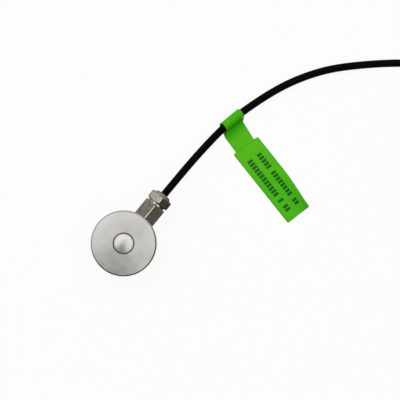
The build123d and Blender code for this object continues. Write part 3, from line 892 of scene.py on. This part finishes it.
def strip_rows():
    """All rows of the strip, each with its place along the film for the print."""
    flag_shares = FLAG_END_SHARES + spread(FLAG_STEPS, *FLAG_SHARES) + FLAG_NEAR_SHARES
    rows = [(flag_row(share, 1), between(*ON_FLAG, share)) for share in flag_shares]
    for share in spread(NECK_STEPS, NECK_REACH, 0.0):
        rows.append((neck_row(share, 1), between(*ON_NECK, share)))
    neck_middle = (NECK_START_LEFT + NECK_START_RIGHT) / 2 - loop_centre
    neck_out = neck_middle.dot(to_flag)
    neck_side = neck_middle.dot(along_cable)
    neck_width = (NECK_START_RIGHT - NECK_START_LEFT).length
    # Concave sweep of the upper film from the neck up to the loop
    lean = pi / 2 - LOOP_START
    end_out = LOOP_RADIUS * cos(LOOP_START)
    end_height = LOOP_RADIUS * sin(LOOP_START)
    glued = FILM - LOOP_RADIUS
    straight = (end_height - glued - FILM_FILLET * (1 - cos(lean))) / sin(lean)
    foot_out = end_out + straight * cos(lean) + FILM_FILLET * sin(lean)
    for angle in spread(SWEEP_STEPS, 0.0, lean):
        out = foot_out - FILM_FILLET * sin(angle)
        height = glued + FILM_FILLET * (1 - cos(angle))
        share = ease((out - end_out) / (neck_out - end_out))
        side = between(sidestep(end_height), neck_side, share)
        width = between(LOOP_WIDTH, neck_width, share)
        rows.append((loop_row(out, height, side, width), ON_SWEEP))
    # Round the cable, from the flag's side over the top and down to the bottom
    for angle in spread(LOOP_STEPS, LOOP_START, LOOP_BOTTOM):
        out = LOOP_RADIUS * cos(angle)
        height = LOOP_RADIUS * sin(angle)
        rows.append((loop_row(out, height, sidestep(height), LOOP_WIDTH), ON_LOOP))
    for share in spread(NECK_STEPS, 0.0, NECK_REACH):
        rows.append((neck_row(share, -1), NECK_BELOW))
    for share in reversed(flag_shares):
        rows.append((flag_row(share, -1), FLAG_BELOW))
    return rows


# %% Mesh of the label
def sheet_mesh(name, rows):
    """A grid mesh of the rows in metres, with its own UV map along and across the film."""
    mesh = bpy.data.meshes.new(name)
    points = [p * MM for row, _ in rows for p in row]
    faces = []
    for r in range(len(rows) - 1):
        for c in range(POINTS_ACROSS - 1):
            a = r * POINTS_ACROSS + c
            faces.append((a, a + 1, a + POINTS_ACROSS + 1, a + POINTS_ACROSS))
    mesh.from_pydata(points, [], faces)
    uv = mesh.uv_layers.new(name="film")
    for loop in mesh.loops:
        r, c = divmod(loop.vertex_index, POINTS_ACROSS)
        uv.data[loop.index].uv = (rows[r][1], ACROSS[c])
    for face in mesh.polygons:
        face.use_smooth = True
    return mesh


def settle(made):
    """Turns an object's modifiers into its plain mesh."""
    graph = bpy.context.evaluated_depsgraph_get()
    done = bpy.data.meshes.new_from_object(made.evaluated_get(graph), depsgraph=graph)
    made.modifiers.clear()
    made.data = done


label = new_object("flag_film", sheet_mesh("flag_film", strip_rows()))
film = label.modifiers.new("film", "SOLIDIFY")
film.thickness = FILM * MM
film.offset = 0.0
settle(label)
print("label faces:", len(label.data.polygons))

# %% Finish of the label
# Greens along the film, from the flag's end below to its end on top. Painted shade darkens the film
# where it sweeps down from the loop and on the neck beside it. Past that the film is lighter at the
# flag's start, with a darker line where the flag starts, and a little darker towards the flag's far
# end.
FILM_GREENS_AND_SHADE = [
    (0.00, "#3ca216"),
    (0.28, "#40b10d"),
    (0.33, "#40b10d"),
    (0.37, "#31a60a"),
    (0.41, "#31a60a"),
    (0.44, "#56bb1c"),
    (0.485, "#56bb1c"),
    (0.495, "#48a816"),
    (0.505, "#5abd1c"),
    (0.57, "#56bb1a"),
    (0.75, "#4cb814"),
    (1.00, "#4ab81a"),
]
PRINT_BLOCKS = 17
PRINT_SPAN = (0.58, 0.95)
PRINT_ROWS = [(0.285, 0.095), (0.665, 0.09)]
BLOCK_SHARE = 0.74
GAP_CHANCE = 0.14
ROW_SEED = 12.0


def printed_rows(tree, along, across):
    """One on the small plain blocks that stand for two printed rows, and zero elsewhere."""
    share = add(tree, "ShaderNodeMapRange", {
        "Value": along, "From Min": PRINT_SPAN[0], "From Max": PRINT_SPAN[1],
        "To Min": 0.0, "To Max": float(PRINT_BLOCKS),
    }, clamp=False)
    inside = add(tree, "ShaderNodeMath", {
        0: share, 1: PRINT_BLOCKS / 2, 2: PRINT_BLOCKS / 2,
    }, operation="COMPARE")
    cell = add(tree, "ShaderNodeMath", {0: share}, operation="FLOOR")
    part = add(tree, "ShaderNodeMath", {0: share}, operation="FRACT")
    filled = add(tree, "ShaderNodeMath", {0: part, 1: BLOCK_SHARE}, operation="LESS_THAN")
    rows = []
    for number, (middle, half) in enumerate(PRINT_ROWS):
        seed = add(tree, "ShaderNodeCombineXYZ", {0: cell, 1: ROW_SEED + number})
        chance = add(tree, "ShaderNodeTexWhiteNoise", {"Vector": seed}, out="Value")
        kept = add(tree, "ShaderNodeMath", {0: chance, 1: GAP_CHANCE}, operation="GREATER_THAN")
        band = add(tree, "ShaderNodeMath", {0: across, 1: middle, 2: half}, operation="COMPARE")
        rows.append(add(tree, "ShaderNodeMath", {0: band, 1: kept}, operation="MULTIPLY"))
    ink = add(tree, "ShaderNodeMath", {0: rows[0], 1: rows[1]}, operation="MAXIMUM")
    ink = add(tree, "ShaderNodeMath", {0: ink, 1: inside}, operation="MULTIPLY")
    return add(tree, "ShaderNodeMath", {0: ink, 1: filled}, operation="MULTIPLY")


def vinyl(tree):
    """Satin green film with painted shade where it sweeps down from the loop, and two rows of plain
    printed blocks.
    """
    film = add(tree, "ShaderNodeSeparateXYZ", {
        0: add(tree, "ShaderNodeUVMap", uv_map="film"),
    }, out=None).outputs
    shades = graded(tree, film["X"], [(start, linear(tint)) for start, tint in FILM_GREENS_AND_SHADE])
    ink = add(tree, "ShaderNodeMath", {
        0: printed_rows(tree, film["X"], film["Y"]), 1: speckle(tree, 0.3 * MM, 0.75, 1),
    }, operation="MULTIPLY")
    colour = layered(tree, shades, (speckle(tree, 5 * MM, 0, 0.25), "#46ac14"), (ink, "#0c4a1a"))
    return surface(tree, colour, 0.5, {
        "IOR": 1.5, "Specular IOR Level": 0.06,
    }, relief=(speckle(tree, 0.4 * MM), 0.15))


green_vinyl = material("green_vinyl_film", vinyl)
label.data.materials.clear()
label.data.materials.append(green_vinyl)
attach(label, "root")
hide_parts("flag_label")

# %% [markdown]
# ## Pieces that repeat or follow a path
# A thread is one ridge along a helix, a weld is one ripple set down again and again round a seam,
# and a screen of strands is one wire copied round a twist. Each follows a rule, so each is a small
# Geometry Nodes tree with its sizes as named inputs. The tree ends by making its copies real and
# giving them their finish, and the result is kept as a plain mesh.

# %% Helpers for Geometry Nodes
SOCKETS = {float: "NodeSocketFloat", int: "NodeSocketInt", tuple: "NodeSocketVector"}


def grow(name, build, sizes, finish, start=None):
    """A plain mesh of what build(tree, size) makes from those sizes, in its finish."""
    tree = bpy.data.node_groups.new(name, "GeometryNodeTree")
    tree.interface.new_socket("Start", in_out="INPUT", socket_type="NodeSocketGeometry")
    for title, value in sizes.items():
        tree.interface.new_socket(title, in_out="INPUT", socket_type=SOCKETS[type(value)])
    tree.interface.new_socket("Result", in_out="OUTPUT", socket_type="NodeSocketGeometry")
    geometry = build(tree, add(tree, "NodeGroupInput", out=None).outputs)
    real = add(tree, "GeometryNodeRealizeInstances", {"Geometry": geometry})
    dressed = add(tree, "GeometryNodeSetMaterial", {"Geometry": real, "Material": finish})
    add(tree, "NodeGroupOutput", {"Result": dressed}, out=None)

    made = new_object(name, start or bpy.data.meshes.new(name))
    modifier = made.modifiers.new(name, "NODES")
    modifier.node_group = tree
    for item in tree.interface.items_tree:
        if item.in_out == "INPUT" and item.name in sizes:
            modifier[item.identifier] = sizes[item.name]
    settle(made)
    print(name, "faces:", len(made.data.polygons))
    return made


def copied_round(tree, size, piece, scale=(1, 1, 1)):
    """Copies of a piece evenly round a circle, each turned its way, then moved to their place."""
    index = add(tree, "GeometryNodeInputIndex")
    step = add(tree, "ShaderNodeMath", {0: tau, 1: size["Count"]}, operation="DIVIDE")
    angle = add(tree, "ShaderNodeMath", {
        0: index, 1: step, 2: size["First"],
    }, operation="MULTIPLY_ADD")
    x = add(tree, "ShaderNodeMath", {0: angle}, operation="COSINE")
    y = add(tree, "ShaderNodeMath", {0: angle}, operation="SINE")
    way = add(tree, "ShaderNodeCombineXYZ", {0: x, 1: y})
    spot = add(tree, "ShaderNodeVectorMath", {
        0: way, "Scale": size["Circle Radius"],
    }, operation="SCALE")
    points = add(tree, "GeometryNodePoints", {"Count": size["Count"], "Position": spot})
    turn = add(tree, "ShaderNodeCombineXYZ", {2: angle})
    copies = add(tree, "GeometryNodeInstanceOnPoints", {
        "Points": points, "Instance": piece, "Rotation": turn, "Scale": scale,
    })
    return add(tree, "GeometryNodeTransform", {
        "Geometry": copies, "Rotation": size["Turn"], "Translation": size["Place"],
    })


# %% [markdown]
# ## Threads
# The gland's neck carries the nut's thread, of which half a millimetre shows between the two
# hexagons, and three M3 holes in the base take the mounting screws. A real thread is a groove with
# sharp crests 0.5 mm apart. Here one diamond-shaped ridge runs along a helix on the plain cylinder
# that the CAD model has, and is copied to each hole.

# %% Thread ridges
NECK_THREAD_STATION = 19.88


def on_gland_axis(station):
    """The point on the gland's axis that many millimetres from the puck's axis."""
    way = radians(PORT_ANGLE)
    return (station * cos(way) * MM, station * sin(way) * MM, PORT_HEIGHT * MM)


NECK_THREAD = {
    "Radius": 3.48 * MM, "Pitch": 0.3 * MM, "Length": 0.42 * MM, "Ridge": 0.045 * MM,
    "Count": 1, "Circle Radius": 0.0, "First": 0.0,
    "Turn": (0.0, pi / 2, radians(PORT_ANGLE)), "Place": on_gland_axis(NECK_THREAD_STATION),
}
MOUNT_THREADS = {
    "Radius": 1.24 * MM, "Pitch": 0.5 * MM, "Length": 3.8 * MM, "Ridge": 0.12 * MM,
    "Count": 3, "Circle Radius": 10.5 * MM, "First": radians(PORT_ANGLE + 60),
    "Turn": (0.0, 0.0, 0.0), "Place": (0.0, 0.0, 0.15 * MM),
}


def thread_ridges(tree, size):
    """A diamond-shaped ridge along a helix, copied round a circle."""
    turns = add(tree, "ShaderNodeMath", {0: size["Length"], 1: size["Pitch"]}, operation="DIVIDE")
    helix = add(tree, "GeometryNodeCurveSpiral", {
        "Resolution": 20, "Rotations": turns, "Start Radius": size["Radius"],
        "End Radius": size["Radius"], "Height": size["Length"],
    })
    upright = add(tree, "GeometryNodeSetCurveNormal", {"Curve": helix}, mode="Z_UP")
    profile = add(tree, "GeometryNodeCurvePrimitiveCircle", {
        "Resolution": 4, "Radius": size["Ridge"],
    }, mode="RADIUS")
    ridge = add(tree, "GeometryNodeCurveToMesh", {
        "Curve": upright, "Profile Curve": profile, "Fill Caps": True,
    })
    return copied_round(tree, size, ridge)


neck_thread = grow("neck_thread", thread_ridges, NECK_THREAD, gland_metal)
mount_threads = grow("mount_threads", thread_ridges, MOUNT_THREADS, turned_stainless)

# %% [markdown]
# ## Weld round the cover
# The cover closes the cavity against water, so it is welded in all round, as a row of overlapping
# spots from a pulsed laser. Each spot freezes as a small flat ripple. One flattened ball, set down
# about every 0.45 mm and varied a little in size, gives the fish-scale look of the seam.

# %% Ripples of the weld
RIPPLE_PITCH = 0.45 * MM
RIPPLE_SEED = 4
SEAM_RADIUS = 8.2 * MM
WELD = {
    "Ripple": 0.36 * MM, "Smallest": (0.9, 0.95, 0.36), "Largest": (1.1, 1.15, 0.46),
    "Count": int(tau * SEAM_RADIUS / RIPPLE_PITCH), "Circle Radius": SEAM_RADIUS, "First": 0.0,
    "Turn": (0.0, 0.0, 0.0), "Place": (0.0, 0.0, 0.2 * MM),
}


def weld_metal(tree):
    """Bright melted steel with a straw-coloured heat tint in places."""
    colour = layered(tree, "#b9b7b3", (speckle(tree, 2 * MM), "#b5a689"))
    return surface(tree, colour, speckle(tree, 0.3 * MM, 0.25, 0.4), METAL)


def weld_ripples(tree, size):
    """Flattened balls round a circle, a little different in size."""
    ball = add(tree, "GeometryNodeMeshIcoSphere", {"Radius": size["Ripple"], "Subdivisions": 2})
    scale = add(tree, "FunctionNodeRandomValue", {
        0: size["Smallest"], 1: size["Largest"], "Seed": RIPPLE_SEED,
    }, data_type="FLOAT_VECTOR")
    return copied_round(tree, size, ball, scale)


cover_weld = grow("cover_weld", weld_ripples, WELD, material("laser_welded_steel", weld_metal))

# %% [markdown]
# ## Ties of the coil
# Two straps of black hook-and-loop tape hold the coil's turns together, as on a cable from stock.
# A strap goes round the section of the ring, flat on the turns and tight at the corners, so its
# line is a rectangle with rounded corners, swept with a flat section. The coil lies on the straps,
# which lifts it off the table by their thickness.

# %% Straps round the coil
TURNS_WIDTH = COIL_OUTER - COIL_INNER + CABLE_DIAMETER
TURNS_HEIGHT = COIL_LAYERS * CABLE_DIAMETER
TIES = {
    "Width": (TURNS_WIDTH + TIE_THICKNESS) * MM, "Height": (TURNS_HEIGHT + TIE_THICKNESS) * MM,
    "Corner": (CABLE_DIAMETER + TIE_THICKNESS) / 2 * MM, "Thickness": TIE_THICKNESS * MM,
    "Strap": 6.0 * MM, "Count": 2, "Circle Radius": (COIL_OUTER + COIL_INNER) / 2 * MM,
    "First": radians(125), "Turn": (0.0, 0.0, 0.0),
    "Place": (COIL_CENTRE[0] * MM, COIL_CENTRE[1] * MM, (TURNS_HEIGHT / 2 + TIE_THICKNESS) * MM),
}
TAPE_PITCH = 0.4 * MM
TAPE_DEPTH = 0.05 * MM


def hook_and_loop(tree):
    """Black nylon tape: a fine cross weave under a dull nap."""
    warp = add(tree, "ShaderNodeTexWave", {
        "Vector": place(tree), "Scale": WAVE_BAND / TAPE_PITCH, "Distortion": 1.0,
    }, out="Fac", wave_type="BANDS", bands_direction="DIAGONAL")
    nap = speckle(tree, 0.2 * MM)
    height = add(tree, "ShaderNodeMath", {0: warp, 1: nap}, operation="ADD")
    colour = layered(tree, "#121214", (nap, "#1d1d20"))
    return surface(tree, colour, 0.85, {
        "Specular IOR Level": 0.1, "Sheen Weight": 0.08,
    }, relief=(height, 0.5), depth=TAPE_DEPTH)


def straps(tree, size):
    """A flat strap along a rounded rectangle that stands across the ring, copied round it."""
    outline = add(tree, "GeometryNodeCurvePrimitiveQuadrilateral", {
        "Width": size["Width"], "Height": size["Height"],
    }, mode="RECTANGLE")
    rounded = add(tree, "GeometryNodeFilletCurve", {
        "Curve": outline, "Count": 6, "Radius": size["Corner"],
    }, mode="POLY")
    section = add(tree, "GeometryNodeCurvePrimitiveQuadrilateral", {
        "Width": size["Thickness"], "Height": size["Strap"],
    }, mode="RECTANGLE")
    strap = add(tree, "GeometryNodeCurveToMesh", {"Curve": rounded, "Profile Curve": section})
    upright = add(tree, "GeometryNodeTransform", {
        "Geometry": strap, "Rotation": (pi / 2, 0.0, 0.0),
    })
    return copied_round(tree, size, upright)


coil_ties = grow("coil_ties", straps, TIES, material("hook_and_loop_nylon", hook_and_loop))

# %% [markdown]
# ## Screen of the cable
# Where the cable is stripped, its braided screen is twisted to a pigtail. Wires follow a helix
# round the pigtail's line: a tree copies the line once for each wire, moves each copy out sideways
# by an angle that grows along it, and gives it a round section.

# %% Twisted wires of the screen
END_OF_CABLE = Vector(CABLE_TAIL[-1])
END_WAY = (END_OF_CABLE - Vector(CABLE_TAIL[-2])).normalized()
END_LEFT = Vector((-END_WAY.y, END_WAY.x, 0.0))
PIGTAIL_ROUTE = [(0.0, 0.0, 0.0), (3.5, 0.0, 0.0), (9.1, 0.0, -1.1), (14.0, 0.6, -1.1)]
PIGTAIL_STEPS = 8
SCREEN = {
    "Wires": 6, "Wire Radius": 0.13 * MM, "Lay Radius": 0.26 * MM, "Lay Length": 3.2 * MM,
    "Step": 0.2 * MM,
}


def twisted_wires(tree, size):
    """Copies of a line, each wound round it, with a round section."""
    line = add(tree, "GeometryNodeMeshToCurve", {0: size["Start"]})
    fine = add(tree, "GeometryNodeResampleCurve", {
        "Curve": line, "Length": size["Step"],
    }, mode="LENGTH")
    wires = add(tree, "GeometryNodeDuplicateElements", {
        "Geometry": fine, "Amount": size["Wires"],
    }, out=None, domain="SPLINE").outputs
    share = add(tree, "ShaderNodeMath", {
        0: wires["Duplicate Index"], 1: size["Wires"],
    }, operation="DIVIDE")
    run = add(tree, "GeometryNodeSplineParameter", out="Length")
    turns = add(tree, "ShaderNodeMath", {0: run, 1: size["Lay Length"]}, operation="DIVIDE")
    turns = add(tree, "ShaderNodeMath", {0: turns, 1: share}, operation="ADD")
    angle = add(tree, "ShaderNodeMath", {0: turns, 1: tau}, operation="MULTIPLY")
    aside = add(tree, "ShaderNodeVectorMath", {
        0: add(tree, "GeometryNodeInputNormal"), "Scale": size["Lay Radius"],
    }, operation="SCALE")
    offset = add(tree, "ShaderNodeVectorRotate", {
        "Vector": aside, "Axis": add(tree, "GeometryNodeInputTangent"), "Angle": angle,
    }, rotation_type="AXIS_ANGLE")
    wound = add(tree, "GeometryNodeSetPosition", {"Geometry": wires["Geometry"], "Offset": offset})
    section = add(tree, "GeometryNodeCurvePrimitiveCircle", {
        "Resolution": 6, "Radius": size["Wire Radius"],
    }, mode="RADIUS")
    return add(tree, "GeometryNodeCurveToMesh", {
        "Curve": wound, "Profile Curve": section, "Fill Caps": True,
    })


pigtail_line = nurbs("pigtail_line", [
    END_OF_CABLE + END_WAY * out + END_LEFT * aside + Vector((0, 0, drop))
    for out, aside, drop in PIGTAIL_ROUTE
], PIGTAIL_STEPS)
pigtail_points = line_of(pigtail_line)
bpy.data.objects.remove(pigtail_line)
pigtail_edges = [(i, i + 1) for i in range(len(pigtail_points) - 1)]
pigtail_mesh = bpy.data.meshes.new("screen_wires")
pigtail_mesh.from_pydata(pigtail_points, pigtail_edges, [])
screen_wires = grow("screen_wires", twisted_wires, SCREEN, tinned_copper, pigtail_mesh)

# %% Attach each grown piece to the root body
for piece, slot in (
    (neck_thread, "gland_metal"),
    (mount_threads, "turned_stainless"),
    (cover_weld, "cover_stainless"),
    (coil_ties, "cable_sheath"),
    (screen_wires, "tinned_copper"),
):
    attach(piece, "root")
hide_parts("shield_pigtail")

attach(cable, "root")
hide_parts("cable", "cable_coil", "cable_tail")
